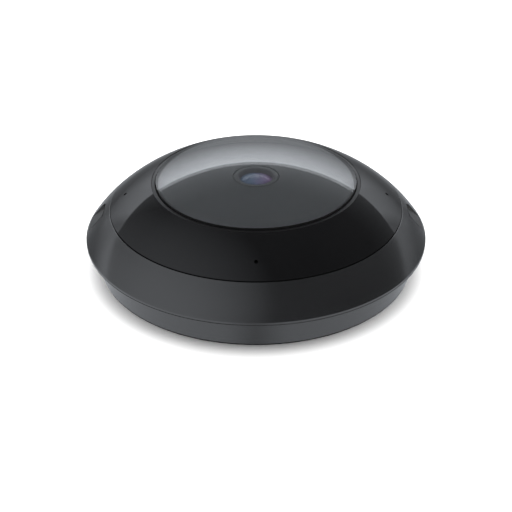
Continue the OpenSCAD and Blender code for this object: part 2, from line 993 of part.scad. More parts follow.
// Flat cable from the sensor board down through the deck to the main board
module sensor_flex() {
  high_z = sensor_top + 0.35;
  low_z = board_top + 0.35;
  turn_y = flex_drop_y + flex_bend_r + flex_t;
  foot_y = flex_drop_y - flex_bend_r;
  turn_z = high_z - flex_bend_r;
  foot_z = low_z + flex_bend_r + flex_t;
  color(gold)
    translate([-flex_w / 2, 0, 0])
      rotate([90, 0, 90])
        linear_extrude(flex_w) {
          strip([turn_y, flex_socket_high_y - flex_socket_d / 2], [high_z, high_z + flex_t]);
          translate([turn_y, turn_z])
            bend(flex_bend_r, flex_t, [-1, 1]);
          strip([flex_drop_y, flex_drop_y + flex_t], [foot_z, turn_z]);
          translate([foot_y, foot_z])
            bend(flex_bend_r, flex_t, [1, -1]);
          strip([flex_socket_low_y + flex_socket_d / 2, foot_y], [low_z, low_z + flex_t]);
        }
}

// Quarter of a flat ring, on the side that the two signs name
module bend(r, t, side) {
  intersection() {
    difference() {
      circle(r + t);
      circle(r);
    }
    scale(side)
      square(r + t);
  }
}

// Tray of the filter switch, open towards the lens holder
module filter_frame() {
  wall_x = frame_x - frame_wall;
  rail_x = filter_travel / 2 + 2.6;
  color(chip_black) {
    difference() {
      box([-frame_x, frame_x], frame_y, [sensor_top, frame_top]);
      box([-wall_x, wall_x], frame_y + [frame_wall, -frame_wall], [tray_z, frame_top + cut]);
      block(0, 0, sensor_top - cut, [image_chip_w + 0.6, image_chip_w + 0.6, chip_pocket_h + cut]);
      cylinder(r = lens_bore_r, h = tray_z + cut);
    }
    for (x = [-1, 1])
      translate([x * (rail_x + wall_x) / 2, shuttle_d / 2 + 1, tray_z - 0.3])
        linear_extrude(shuttle_t + 0.5)
          square([wall_x - rail_x + 0.4, 1.6], center = true);
    translate([0, pivot_y, tray_z - 0.3])
      cylinder(r = pivot_r, h = frame_top - tray_z + 0.1);
  }
}

// Shuttle with two windows, and an ear whose slot takes the pin of the lever
module filter_shuttle() {
  color(chip_black)
    translate([shuttle_x, 0, shuttle_z])
      difference() {
        union() {
          block(0, 0, 0, [shuttle_l, shuttle_d, shuttle_t]);
          box([-2.3, 2.3], [shuttle_d / 2 - cut, slot_y + 2], [0, shuttle_t]);
        }
        for (x = [-1, 1])
          translate([x * filter_travel / 2, 0, 0]) {
            translate([0, 0, -cut])
              linear_extrude(high)
                square(filter_w - 1, center = true);
            translate([0, 0, shuttle_t - filter_t - 0.1])
              linear_extrude(high)
                square(filter_w + 2 * play, center = true);
          }
        translate([0, slot_y - 0.35, -cut])
          linear_extrude(high)
            square([2 * pin_r + 0.4, 2 * pin_r + 1.6], center = true);
      }
}

module filter_pane(x) {
  translate([x, 0, shuttle_z + shuttle_t - filter_t - 0.1])
    linear_extrude(filter_t)
      square(filter_w, center = true);
}

module day_filter() {
  color([0.35, 0.75, 0.7, 0.5])
    filter_pane(0);
}

module night_filter() {
  color(clear_glass)
    filter_pane(filter_travel);
}

// Lever with a magnet drum on the pivot and a pin in the ear of the shuttle
module shuttle_lever() {
  color(steel)
    translate([0, pivot_y, 0])
      difference() {
        rotate([0, 0, lever_half])
          union() {
            translate([0, 0, tray_z + 0.15])
              cylinder(r = rotor_r, h = lever_z - tray_z);
            translate([0, 0, lever_z])
              linear_extrude(lever_t) {
                circle(rotor_r - 0.3);
                strip([-0.9, 0.9], [-lever_l, 0]);
                translate([0, -lever_l])
                  circle(1.2);
              }
            translate([0, -lever_l, shuttle_z + 0.1])
              cylinder(r = pin_r, h = lever_z - shuttle_z);
          }
        translate([0, 0, tray_z - cut])
          cylinder(r = pivot_r + play, h = high);
      }
}

module motor_yoke() {
  color(cast_grey)
    translate([0, 0, tray_z])
      linear_extrude(yoke_t) {
        for (x = [-1, 1])
          translate([x * (yoke_x[0] + yoke_x[1]) / 2, (yoke_y[0] + yoke_y[1]) / 2])
            square([yoke_x[1] - yoke_x[0], yoke_y[1] - yoke_y[0]], center = true);
        strip([-yoke_x[1], yoke_x[1]], [yoke_y[1] - yoke_bar, yoke_y[1]]);
      }
}

module motor_coil() {
  bar_y = [yoke_y[1] - yoke_bar, yoke_y[1]];
  color(copper)
    difference() {
      box([-coil_x, coil_x], bar_y + [-coil_wrap, coil_wrap], [tray_z, tray_z + yoke_t + 0.9]);
      box([-coil_x - cut, coil_x + cut], bar_y + [-play, play], [tray_z - cut, tray_z + yoke_t + play]);
    }
}

module lens_holder() {
  color(chip_black)
    difference() {
      union() {
        box([-frame_x, frame_x], frame_y, [frame_top, frame_top + holder_t]);
        translate([0, 0, frame_top + holder_t / 2])
          cylinder(r = lens_neck_r + 2.4, h = lock_z - frame_top - holder_t / 2);
      }
      translate([0, 0, frame_top - cut])
        cylinder(r = lens_bore_r, h = high);
      translate([0, 0, lens_rear_z - 0.1])
        cylinder(r = lens_neck_r + play, h = high);
    }
}

module lens_lock_ring() {
  color(cast_grey)
    ring(lens_neck_r + play, lens_neck_r + 2.7, lock_z, lock_t);
}

// Lens barrel: screwed neck, wide head and a stepped bore for the glass
module lens_barrel() {
  color(chip_black)
    rotate_extrude($fn = 128)
      polygon([
        [lens_bore_r, lens_rear_z], [lens_neck_r, lens_rear_z], [lens_neck_r, lens_head_z],
        [lens_head_r, lens_head_z], [lens_head_r, lens_top - 0.5], [lens_head_r - 0.5, lens_top],
        [front_r + play, lens_top], [front_r + play, front_seat_z], [lens_mid_r, front_seat_z],
        [lens_mid_r, front_seat_z - 2], [lens_bore_r, front_seat_z - 3.2]
      ]);
}

module rear_element() {
  color(clear_glass)
    intersection() {
      translate([0, 0, lens_rear_z + 0.3])
        cylinder(r = lens_bore_r - play, h = 2.4);
      translate([0, 0, lens_rear_z + 2.7 - 14])
        sphere(r = 14, $fn = 128);
    }
}

// Retainer: a funnel over the rim of the front glass
module lens_retainer() {
  color(chip_black)
    rotate_extrude($fn = 128)
      polygon([
        [retainer_in, front_seat_z + front_rim_t], [front_r, front_seat_z + front_rim_t],
        [front_r, retainer_top], [front_r - retainer_lip, retainer_top]
      ]);
}

// Bulging front glass with a flat rim and a hollow back
module front_element() {
  ball_z = front_apex_z - front_ball_r;
  color(clear_glass)
    rotate_extrude($fn = 128)
      difference() {
        union() {
          strip([0, front_r], [front_seat_z, front_seat_z + front_rim_t]);
          intersection() {
            disc_at([0, ball_z], front_ball_r);
            strip([0, retainer_in - 0.15], [front_seat_z + front_rim_t / 2, high]);
          }
        }
        disc_at([0, front_seat_z + front_hollow_h - front_hollow_r], front_hollow_r);
      }
}

mount_plate();
base_shell();
base_gasket();
outer_ring();
window_ring();
dome_cover();
dome_gasket();
lens_shroud();
chassis();
base_screws();
window_screws();
shroud_screws();
main_board();
board_screws();
processor();
thermal_pad();
memory_chips();
network_jack();
jack_contacts();
power_transformer();
capacitors();
reset_switch();
reset_plunger();
reset_button();
lamp_board();
lamp_header();
infrared_lamps();
microphones();
mic_boots();
sensor_board();
sensor_screws();
image_sensor();
flex_connectors();
sensor_flex();
filter_frame();
filter_shuttle();
day_filter();
night_filter();
shuttle_lever();
motor_yoke();
motor_coil();
lens_holder();
lens_lock_ring();
lens_barrel();
rear_element();
lens_retainer();
front_element();
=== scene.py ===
# %% [markdown]
# # Dressing a ceiling camera
# The solids of this camera come from its CAD model, packed as one file. This lesson gives them a
# viewpoint, a floor, light and finishes, turns a finer dome and adds two thin dark beads, which
# are seals and painted shade. Every length is in metres, in the frame of the CAD model: the
# mounting face is at z = 0 and the clear dome points up.

# %% Load the imported model
import json
import math

import bpy
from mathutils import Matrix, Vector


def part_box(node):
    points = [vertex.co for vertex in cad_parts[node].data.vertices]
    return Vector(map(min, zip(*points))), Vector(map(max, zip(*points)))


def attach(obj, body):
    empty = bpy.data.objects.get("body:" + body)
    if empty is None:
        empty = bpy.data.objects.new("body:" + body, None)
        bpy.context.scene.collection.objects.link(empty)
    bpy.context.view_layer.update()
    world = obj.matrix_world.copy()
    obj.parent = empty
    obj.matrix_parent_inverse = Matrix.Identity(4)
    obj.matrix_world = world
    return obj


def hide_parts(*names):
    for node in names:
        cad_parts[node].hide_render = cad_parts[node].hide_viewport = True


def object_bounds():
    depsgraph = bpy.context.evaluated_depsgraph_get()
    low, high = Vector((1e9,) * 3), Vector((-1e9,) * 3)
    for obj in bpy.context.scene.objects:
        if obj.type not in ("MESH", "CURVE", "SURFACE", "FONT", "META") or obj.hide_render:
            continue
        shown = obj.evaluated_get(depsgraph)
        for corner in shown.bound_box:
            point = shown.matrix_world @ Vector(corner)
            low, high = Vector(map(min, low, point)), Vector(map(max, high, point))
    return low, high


MM = 0.001
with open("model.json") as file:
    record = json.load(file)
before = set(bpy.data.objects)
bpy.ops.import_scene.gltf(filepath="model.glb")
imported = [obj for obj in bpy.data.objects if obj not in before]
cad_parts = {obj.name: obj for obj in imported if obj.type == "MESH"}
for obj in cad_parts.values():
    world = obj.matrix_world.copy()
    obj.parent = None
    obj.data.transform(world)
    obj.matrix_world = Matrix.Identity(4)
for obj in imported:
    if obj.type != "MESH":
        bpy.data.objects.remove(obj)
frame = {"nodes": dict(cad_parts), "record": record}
nodes = frame["nodes"]
cad_low, cad_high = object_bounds()
scene = bpy.context.scene
print(len(nodes), "solids, from", tuple(cad_low), "to", tuple(cad_high))

# %% [markdown]
# ## The viewpoint
# The photo looks down at the camera from about 30 degrees, with a long lens, so that the rings
# are flat ellipses. Width and height of the rings gave the tilt, and the taper of the body gave
# the distance. A level camera with a shifted picture would also do, but a plain tilt needs no
# shift. Lens and sensor are the only lengths in millimetres, because Blender takes them so.

# %% Camera
VIEW_DISTANCE = 0.65
VIEW_RISE = math.radians(29.07)
VIEW_PITCH = math.radians(30.88)
AIM_HEIGHT = 0.025
FOCAL_LENGTH, SENSOR_WIDTH = 94.05, 36

camera_data = bpy.data.cameras.new("viewpoint")
camera_data.lens = FOCAL_LENGTH
camera_data.sensor_width = SENSOR_WIDTH
camera = bpy.data.objects.new("viewpoint", camera_data)
camera.location = (
    0,
    -VIEW_DISTANCE * math.cos(VIEW_RISE),
    AIM_HEIGHT + VIEW_DISTANCE * math.sin(VIEW_RISE),
)
camera.rotation_euler = (math.pi / 2 - VIEW_PITCH, 0, 0)
scene.collection.objects.link(camera)
scene.camera = camera
print("camera at", tuple(camera.location))

# %% [markdown]
# ## Shader sums as Python
# A finish is a tree of nodes. Wiring each Math node by hand hides the sum, so this small class
# wraps one socket: a sum on it adds the node for that sum. Vectors go through Vector Math, and
# colours are blended by a Mix node, because a Math node would turn them grey.


# %% A socket that takes part in sums
class Wire:
    """One socket of a node tree."""

    def __init__(self, tree, socket=None):
        self.tree = tree
        self.socket = socket

    def add(self, kind, settings=(), sockets=(), out=0):
        """Adds a node: first its settings, then a value or a link for each socket."""
        node = self.tree.nodes.new(kind)
        for name, value in dict(settings).items():
            setattr(node, name, value)
        for name, value in dict(sockets).items():
            if isinstance(value, Wire):
                self.tree.links.new(value.socket, node.inputs[name])
            else:
                node.inputs[name].default_value = value
        return Wire(self.tree, node.outputs[out] if node.outputs else None)

    def sum(self, operation, first, second):
        """Adds the Math or Vector Math node for an operation on two values."""
        kinds = [w.socket.type for w in (first, second) if isinstance(w, Wire)]
        kind = "ShaderNodeVectorMath" if "VECTOR" in kinds else "ShaderNodeMath"
        return self.add(kind, {"operation": operation}, {0: first, 1: second})

    def blend(self, low, high):
        """Colour low where this wire is 0, and high where it is 1."""
        return self.add("ShaderNodeMix", {"data_type": "RGBA"}, {0: self, 6: low, 7: high}, out=2)

    def ramp(self, start, end, low=0.0, high=1.0):
        """This wire's range from start to end, spread from low to high."""
        sockets = {0: self, 1: start, 2: end, 3: low, 4: high}
        return self.add("ShaderNodeMapRange", {"clamp": True}, sockets)

    def fall(self, start, end):
        """1 up to start, and down to 0 at end."""
        return self.ramp(start, end, 1.0, 0.0)

    def __add__(self, other):
        return self.sum("ADD", self, other)

    def __radd__(self, other):
        return self.sum("ADD", other, self)

    def __sub__(self, other):
        return self.sum("SUBTRACT", self, other)

    def __rsub__(self, other):
        return self.sum("SUBTRACT", other, self)

    def __mul__(self, other):
        return self.sum("MULTIPLY", self, other)

    def __rmul__(self, other):
        return self.sum("MULTIPLY", other, self)

    def __truediv__(self, other):
        return self.sum("DIVIDE", self, other)

    def __rtruediv__(self, other):
        return self.sum("DIVIDE", other, self)

    def __pow__(self, other):
        return self.sum("POWER", self, other)

    def __rpow__(self, other):
        return self.sum("POWER", other, self)

    def __abs__(self):
        return self.add("ShaderNodeMath", {"operation": "ABSOLUTE"}, {0: self})


print("sums ready")

# %% [markdown]
# ## What all finishes share
# Each finish is a function that returns a material. Its pattern follows the piece, in metres,
# through the object coordinates, so it needs no unwrapping and keeps its scale. Most finishes
# start and end alike, and those lines are written once here.


# %% Start and end of a finish
def start_finish(name):
    """A new material, its tree, and the place on the piece in metres."""
    material = bpy.data.materials.new(name)
    material.use_nodes = True
    material.node_tree.nodes.clear()
    tree = Wire(material.node_tree)
    return material, tree, tree.add("ShaderNodeTexCoord", out="Object")


def axes(tree, place, count=3):
    """The first numbers of a place, each as a wire."""
    split = "ShaderNodeSeparateXYZ"
    return tuple(tree.add(split, {}, {0: place}, axis) for axis in range(count))


def surface(tree, sockets):
    """The shader that most finishes use."""
    return tree.add("ShaderNodeBsdfPrincipled", {}, sockets)


def mix(tree, share, first, second):
    """The first shader where the share is 0, and the second where it is 1."""
    return tree.add("ShaderNodeMixShader", {}, {0: share, 1: first, 2: second})


def end_finish(tree, shader):
    tree.add("ShaderNodeOutputMaterial", {}, {"Surface": shader})


def is_ray(tree, kind):
    """1 for rays of a kind, such as Shadow, and 0 for all others."""
    return tree.add("ShaderNodeLightPath", out="Is " + kind + " Ray")


print("start and end ready")


# %% Patterns
GRAIN_DETAIL = 3.0


def noise(tree, place, size, detail=2.0):
    """Cloudy pattern from 0 to 1, with clouds of about the given size in metres."""
    sockets = {"Vector": place, "Scale": 1 / size, "Detail": detail}
    return tree.add("ShaderNodeTexNoise", {"normalize": True}, sockets)


def relief(tree, height, depth):
    """Normal of a surface with hills of the given depth in metres."""
    return tree.add("ShaderNodeBump", {}, {"Strength": 1.0, "Distance": depth, "Height": height})


def shades(colour, low, high):
    """A darker and a lighter shade of a colour."""
    return tuple(tuple(min(1, share * c) for c in colour) + (1,) for share in (low, high))


print("patterns ready")

# %% [markdown]
# ## Floor
# The photo is a studio shot on white, so the floor is one wide sheet of white paper. It lies a
# hair below the mounting face, because two faces in one plane would flicker. Its back can be seen
# through, and light from below passes it, so that the underside of the camera can be looked at. A
# curved backdrop would do as well, but the light alone already makes the background white.

# %% Floor
FLOOR_HALF = 3.0
FLOOR_DROP = 0.05 * MM
PAPER_FIBRE = 1 / 900
PAPER_ROUGH, PAPER_MIRROR = 0.6, 0.2
PAPER_SHADES = (0.88, 0.88, 0.88, 1), (0.9, 0.9, 0.9, 1)

floor_mesh = bpy.data.meshes.new("floor")
corners = [(x * FLOOR_HALF, y * FLOOR_HALF, -FLOOR_DROP) for x in (-1, 1) for y in (-1, 1)]
floor_mesh.from_pydata(corners, [], [(0, 2, 3, 1)])
floor = bpy.data.objects.new("floor", floor_mesh)
scene.collection.objects.link(floor)
floor.visible_glossy = False
floor.visible_transmission = False

floor_paint, paper, place = start_finish("floor_paint")
sheet = surface(
    paper,
    {
        "Base Color": noise(paper, place, PAPER_FIBRE).blend(*PAPER_SHADES),
        "Roughness": PAPER_ROUGH,
        "Specular IOR Level": PAPER_MIRROR,
    },
)
from_below = paper.add("ShaderNodeNewGeometry", out="Backfacing")
open_way = paper.sum("MAXIMUM", from_below, is_ray(paper, "Shadow"))
end_finish(paper, mix(paper, open_way, sheet, paper.add("ShaderNodeBsdfTransparent")))
floor_mesh.materials.append(floor_paint)
print("floor of", 2 * FLOOR_HALF, "m")

# %% [markdown]
# ## Light all round
# The floor is lit by a soft sky, brightest behind, and by one lamp overhead, which makes the
# shadow under the rim. Mirrors see another world: a dark ceiling, a white wall behind with a
# sharp top edge, one wide soft light on the left, and a floor far darker than it is. Real panels
# would do, but as sums of the direction of view in the world they are smoother and easier to
# tune.

# %% Directions
HORIZON = 0.02

world = bpy.data.worlds.new("studio")
world.use_nodes = True
world.node_tree.nodes.clear()
scene.world = world
sky = Wire(world.node_tree)
look = sky.add("ShaderNodeTexCoord", out="Generated")
across, away, height = axes(sky, look)
flank, back, down = abs(across), -1 * away, -1 * height
above = height.ramp(-HORIZON, HORIZON)
print("directions ready")

# %% [markdown]
# ### White wall
# Its mirror image is the bright crescent on the dome. The wall is brightest at its top, and its
# sides and corners are dimmer, which gives the grey of the rings on the left and right.

# %% White wall
WALL_TOP, WALL_EDGE = 0.548, 0.002
WALL_START = (0.0, 0.05)
MIDDLE_LOW, MIDDLE_GAIN, MIDDLE_CURVE = 0.29, 2.25, 1.65
SIDES_LOW, SIDES_GAIN, CORNER_LOSS = 0.24, 1.2, 0.62
SIDES_FROM, CORNER_FROM = (0.38, 0.48), (0.63, 0.7)
WALL_LEAN = 0.08

over_top = height - WALL_TOP * away
wall = away.ramp(*WALL_START) * over_top.fall(-WALL_EDGE, WALL_EDGE)
rise = (height / away / WALL_TOP).ramp(0.0, 1.0)
middle = MIDDLE_LOW + MIDDLE_GAIN * rise**MIDDLE_CURVE
sides = SIDES_LOW + rise * (SIDES_GAIN - CORNER_LOSS * flank.ramp(*CORNER_FROM))
panel = middle + flank.ramp(*SIDES_FROM) * (sides - middle)
wall_light = wall * panel * (1 - WALL_LEAN * across)
print("wall up to", round(math.degrees(math.atan(WALL_TOP)), 1), "degrees")

# %% [markdown]
# ### Ceiling, left light and ground
# The ceiling is dark, with a glow above the wall that fills the dome and a little light from
# behind the viewer for the front of the ring. The soft light on the left brightens the left front
# of the rings. The ground is what the base mirrors: dark in the middle and lighter to both sides.

# %% Ceiling, left light and ground
CEILING, GLOW, BACK = 0.1, 0.3, 0.04
GLOW_HEIGHT, BACK_FROM = 0.4, (0.4, 0.7)
LEFT, LEFT_FROM, LEFT_GAIN = (-0.8, -0.4, 0.45), (0.45, 1.0), 0.85
GROUND, GROUND_FROM = 0.23, (0.15, 0.5)
FLANK_LOW, FLANK_STEP, FLANK_GAIN, FLANK_FROM = 0.2, 0.36, 0.25, (0.0, 0.3)
FLANK_AWAY, FLANK_LEAN = 0.15, 0.05

glow = away.ramp(0.0, 1.0) * over_top.fall(0.0, GLOW_HEIGHT)
ceiling_light = (CEILING + GLOW * glow + BACK * back.ramp(*BACK_FROM)) * (1 - wall)
dot = {"operation": "DOT_PRODUCT"}
to_left = sky.add("ShaderNodeVectorMath", dot, {0: look, 1: LEFT}, "Value")
flanks = FLANK_LOW + FLANK_STEP * flank.ramp(*FLANK_FROM) + FLANK_GAIN * flank
flanks = flanks - FLANK_AWAY * away - FLANK_LEAN * across
ground_light = GROUND + down.ramp(*GROUND_FROM) * flanks
upper_light = wall_light + LEFT_GAIN * to_left.ramp(*LEFT_FROM) + ceiling_light
mirrored = above * upper_light + (1 - above) * ground_light
print("mirrored world ready")

# %% [markdown]
# ### Soft light, and which light a ray sees
# Everything that isn't a mirror sees the soft sky, and from below a weak light for the underside.
# A Light Path node tells mirror rays, and rays through glass, from all others.

# %% Soft light, and which light a ray sees
SOFT, SOFT_LEAN, UNDER = 1.9, 0.1, 0.6
SOFT_FROM = (0.05, 0.4)
WHITE, COOL = (1, 1, 1, 1), (0.96, 1.0, 1.06, 1)

soft = SOFT * height.ramp(*SOFT_FROM) * (1 + away + SOFT_LEAN * across)
soft = soft + UNDER * down.ramp(*SOFT_FROM)
mirror = (is_ray(sky, "Glossy") + is_ray(sky, "Transmission")).ramp(0.0, 1.0)
light = {"Color": mirror.blend(WHITE, COOL), "Strength": soft + mirror * (mirrored - soft)}
sky.add("ShaderNodeOutputWorld", {}, {"Surface": sky.add("ShaderNodeBackground", {}, light)})
print("world of", len(world.node_tree.nodes), "nodes")

# %% [markdown]
# ### Lamp overhead
# One large square lamp hangs over the camera and points straight down. It stays out of mirrors,
# so that the rings and the dome show the wall only. The Standard view keeps white paper white,
# where Blender's usual view would make it grey.

# %% Lamp overhead
LAMP_HEIGHT, LAMP_SIZE, LAMP_WATTS = 1.4, 1.2, 14

lamp_data = bpy.data.lights.new("overhead", "AREA")
lamp_data.shape = "SQUARE"
lamp_data.size = LAMP_SIZE
lamp_data.energy = LAMP_WATTS
lamp = bpy.data.objects.new("overhead", lamp_data)
lamp.location = (0, 0, LAMP_HEIGHT)
lamp.visible_glossy = False
lamp.visible_transmission = False
scene.collection.objects.link(lamp)
scene.view_settings.view_transform = "Standard"
print("lamp of", LAMP_WATTS, "W")

# %% [markdown]
# ## Moulded plastic
# The housing is moulded in a tool with an eroded surface. The grain is a tenth of a millimetre
# wide and breaks up the gloss, and larger, fainter clouds come from how the plastic flowed.
# Rubber, boards and black anodised metal look alike enough to use the same finish with other
# numbers. A flat colour would be quicker, but every highlight would then be too clean.

# %% Moulded plastic
GRAIN, CLOUD = 0.12 * MM, 18 * MM
GRAIN_SHARE = 0.4
PLASTIC_SHADES = (0.9, 1.12)
PLASTIC_SPREAD = 0.04
FINE, USUAL, COARSE = 0.0004 * MM, 0.004 * MM, 0.01 * MM


def mottle(tree, place, colour, grain):
    """Fine grains, wide clouds, and the colour under both."""
    grains, clouds = noise(tree, place, grain, GRAIN_DETAIL), noise(tree, place, CLOUD)
    share = (1 - GRAIN_SHARE) * clouds + GRAIN_SHARE * grains
    return grains, clouds, share.blend(*shades(colour, *PLASTIC_SHADES))


def moulded(name, colour, rough, grain=GRAIN, depth=USUAL, ior=1.5):
    material, tree, place = start_finish(name)
    grains, clouds, paint = mottle(tree, place, colour, grain)
    sockets = {
        "Base Color": paint,
        "Roughness": rough + PLASTIC_SPREAD * (clouds - 0.5),
        "IOR": ior,
        "Normal": relief(tree, grains, depth),
    }
    end_finish(tree, surface(tree, sockets))
    return material


print("grain of", GRAIN / MM, "mm")

# %% Moulded pieces
HOUSING = {"colour": (0.006, 0.0062, 0.0066), "rough": 0.17, "ior": 1.75}
RUBBER = {"rough": 0.75, "grain": 0.4 * MM, "depth": COARSE}
MOULDED = {
    "housing_grey": {**HOUSING, "depth": FINE},
    "plate_plastic": {"colour": (0.09, 0.092, 0.096), "rough": 0.5},
    "seal_rubber": {"colour": (0.012, 0.012, 0.012), **RUBBER},
    "dome_gasket": {"colour": (0.035, 0.036, 0.038), **RUBBER},
    "shroud_black": {"colour": (0.054, 0.056, 0.061), "rough": 0.55},
    "lens_metal": {"colour": (0.05, 0.052, 0.056), "rough": 0.5},
    # The retainer's lighter, slightly violet colour is partly painted reflection of the lens
    # coating.
    "lens_retainer": {"colour": (0.05, 0.05, 0.056), "rough": 0.5},
    "satin_black": {"colour": (0.012, 0.012, 0.0125), "rough": 0.25, "depth": FINE, "ior": 1.38},
    "dull_black": {"colour": (0.002, 0.002, 0.002), "rough": 0.5, "ior": 1.12},
    "board_laminate": {"colour": (0.012, 0.07, 0.035), "rough": 0.35},
    "chip_plastic": {"colour": (0.015, 0.015, 0.016), "rough": 0.5},
    "pad_grey": {"colour": (0.5, 0.54, 0.58), "rough": 0.8},
    "flex_film": {"colour": (0.45, 0.24, 0.04), "rough": 0.4},
    "lamp_resin": {"colour": (0.7, 0.7, 0.62), "rough": 0.2},
}
finishes = {name: moulded(name, **values) for name, values in MOULDED.items()}
print(len(finishes), "moulded finishes")

# %% [markdown]
# ## Outer ring with duller notches
# The two finger notches of the outer ring are a little duller, so that fingers hold. They could
# be painted face by face, but the CAD mesh isn't changed here, so the finish finds them by
# itself: a notch lies below the ring's round skin. The skin is an arc, so the depth is the arc's
# radius less the distance from its centre. A thin black line of painted shadow follows the inner
# and front edges of each notch, and its rear wall is painted paler, a painted highlight for the
# light it would catch.

# %% Arc and notches
RIM_R, RING_IN, RING_EDGE_Z = cad_high[0], 70.5 * MM, 16.2 * MM
SLOPE_OUT, SLOPE_IN = math.radians(56), math.radians(41.5)
SKIN_R = (RIM_R - RING_IN) / (math.sin(SLOPE_OUT) - math.sin(SLOPE_IN))
SKIN_X = RIM_R - SKIN_R * math.sin(SLOPE_OUT)
SKIN_Z = RING_EDGE_Z - SKIN_R * math.cos(SLOPE_OUT)
SKIN_FROM = (RING_IN + 1.5 * MM, RING_IN + 1.7 * MM)
SKIN_TO = (RIM_R - 0.3 * MM, RIM_R - 0.2 * MM)

NOTCH_TURN = math.radians(2)
NOTCH_HALF, NOTCH_IN = 7.25 * MM, 73.8 * MM
NOTCH_DEPTH = (0.06 * MM, 0.14 * MM)
NOTCH_REAR = (NOTCH_HALF - 0.2 * MM, NOTCH_HALF - 0.1 * MM)
SHADOW_LINE_OUT, SHADOW_LINE_WIDTH = 0.2 * MM, (0.12 * MM, 0.24 * MM)
SHADOW_LINE_TO, SHADOW_LINE_REAR = (80.4 * MM, 80.8 * MM), (0.0, 4 * MM)
print("skin radius", round(SKIN_R / MM, 1), "mm")


# %% Places of the notches
def notch_masks(tree, place):
    """Where the notches, their painted-light rear walls and their painted shadow lines are."""
    x, y, z = axes(tree, place)
    radius = (x * x + y * y) ** 0.5
    out, up = radius - SKIN_X, z - SKIN_Z
    depth = SKIN_R - (out * out + up * up) ** 0.5
    notch = depth.ramp(*NOTCH_DEPTH) * radius.ramp(*SKIN_FROM) * radius.fall(*SKIN_TO)
    along = abs(x) * math.cos(NOTCH_TURN) + y * math.sin(NOTCH_TURN)
    beside = y * math.cos(NOTCH_TURN) - abs(x) * math.sin(NOTCH_TURN)
    border = tree.sum("MAXIMUM", -1 * beside - NOTCH_HALF - SHADOW_LINE_OUT, NOTCH_IN - along)
    painted_shadow_line = beside.fall(*SHADOW_LINE_REAR) * abs(border).fall(*SHADOW_LINE_WIDTH) * along.fall(*SHADOW_LINE_TO)
    return notch, beside.ramp(*NOTCH_REAR), painted_shadow_line


print("notches of", 2 * NOTCH_HALF / MM, "mm")

# %% Outer ring
# The paler wall colour is a painted highlight on each notch's rear wall, and the line colour is a
# painted shadow.
NOTCH_FLOOR, NOTCH_WALL_PAINTED_LIGHT = (0.012, 0.012, 0.0125, 1), (0.07, 0.07, 0.073, 1)
NOTCH_ROUGH = 0.12
SHADOW_LINE_BLACK = (0.004, 0.004, 0.004, 1)


def notched_ring(name, colour, rough, ior):
    material, tree, place = start_finish(name)
    notch, lit_rear_wall, painted_shadow_line = notch_masks(tree, place)
    grains, clouds, paint = mottle(tree, place, colour, GRAIN)
    sockets = {
        "Base Color": notch.blend(paint, lit_rear_wall.blend(NOTCH_FLOOR, NOTCH_WALL_PAINTED_LIGHT)),
        "Roughness": rough + PLASTIC_SPREAD * (clouds - 0.5) + NOTCH_ROUGH * notch,
        "IOR": ior,
        "Normal": relief(tree, grains, FINE),
    }
    # Painted shadow: a matte black strip along the inner and front edges of each notch.
    painted_shadow_bsdf = tree.add("ShaderNodeBsdfDiffuse", {}, {"Color": SHADOW_LINE_BLACK})
    end_finish(tree, mix(tree, painted_shadow_line, surface(tree, sockets), painted_shadow_bsdf))
    return material


finishes["outer_ring"] = notched_ring("outer_ring", **HOUSING)
print("outer ring finished")

# %% [markdown]
# ## Gloss of the window ring
# The ring over the lamps is polished plastic that lets infrared through and looks black. A faint
# haze in its roughness keeps the mirror from looking like computer chrome. The bores of the four
# microphone ports are painted matte black, as painted shade in the holes, so they show as black
# dots: they are found by their distance from the ports' axes, which lie on the x and y axes. The
# narrow land round the dome is satin, and the ring's two edges are painted matte black where they
# meet the dome and the outer ring, as painted shade in the seams.

# %% Polished window
PORT_AT, PORT_EDGE = 63.0 * MM, (0.75 * MM, 0.9 * MM)
LAND_EDGE = (49.85 * MM, 49.95 * MM)
DOME_SEAM, RING_SEAM = (48.4 * MM, 48.5 * MM), (70.2 * MM, 70.26 * MM)
HAZE = 25 * MM
WINDOW_ROUGH, HAZE_ROUGH, LAND_ROUGH = 0.035, 0.03, 0.3
WINDOW_IOR = 1.45
WINDOW_SHADES = (0.002, 0.002, 0.0022, 1), (0.003, 0.003, 0.0032, 1)
PAINTED_SHADE_BLACK = (0.002, 0.002, 0.002, 1)


def polished_window(name):
    material, tree, place = start_finish(name)
    haze = noise(tree, place, HAZE)
    x, y = (abs(axis) for axis in axes(tree, place, 2))
    radius = (x * x + y * y) ** 0.5
    sockets = {
        "Base Color": haze.blend(*WINDOW_SHADES),
        "Roughness": WINDOW_ROUGH + HAZE_ROUGH * haze + LAND_ROUGH * radius.fall(*LAND_EDGE),
        "IOR": WINDOW_IOR,
    }
    along, beside = tree.sum("MAXIMUM", x, y) - PORT_AT, tree.sum("MINIMUM", x, y)
    # Painted shade: the port bores and the ring's two edges turn matte black.
    bore_shade = ((along * along + beside * beside) ** 0.5).fall(*PORT_EDGE)
    seam_shade = radius.fall(*DOME_SEAM) + radius.ramp(*RING_SEAM)
    painted_shade_bsdf = tree.add("ShaderNodeBsdfDiffuse", {}, {"Color": PAINTED_SHADE_BLACK})
    painted_shade = tree.sum("MAXIMUM", bore_shade, seam_shade)
    end_finish(tree, mix(tree, painted_shade, surface(tree, sockets), painted_shade_bsdf))
    return material


finishes["window_black"] = polished_window("window_black")
print("ports at", PORT_AT / MM, "mm from the axis")

# %% [markdown]
# ## Clear glass
# The dome is real glass here: it bends and mirrors light at both of its faces, which gives the
# doubled edges of the photo. Light from a lamp can't be traced straight through bent glass, so
# for shadows the wall counts as a clear film. The daylight filter is the same glass with a tint.

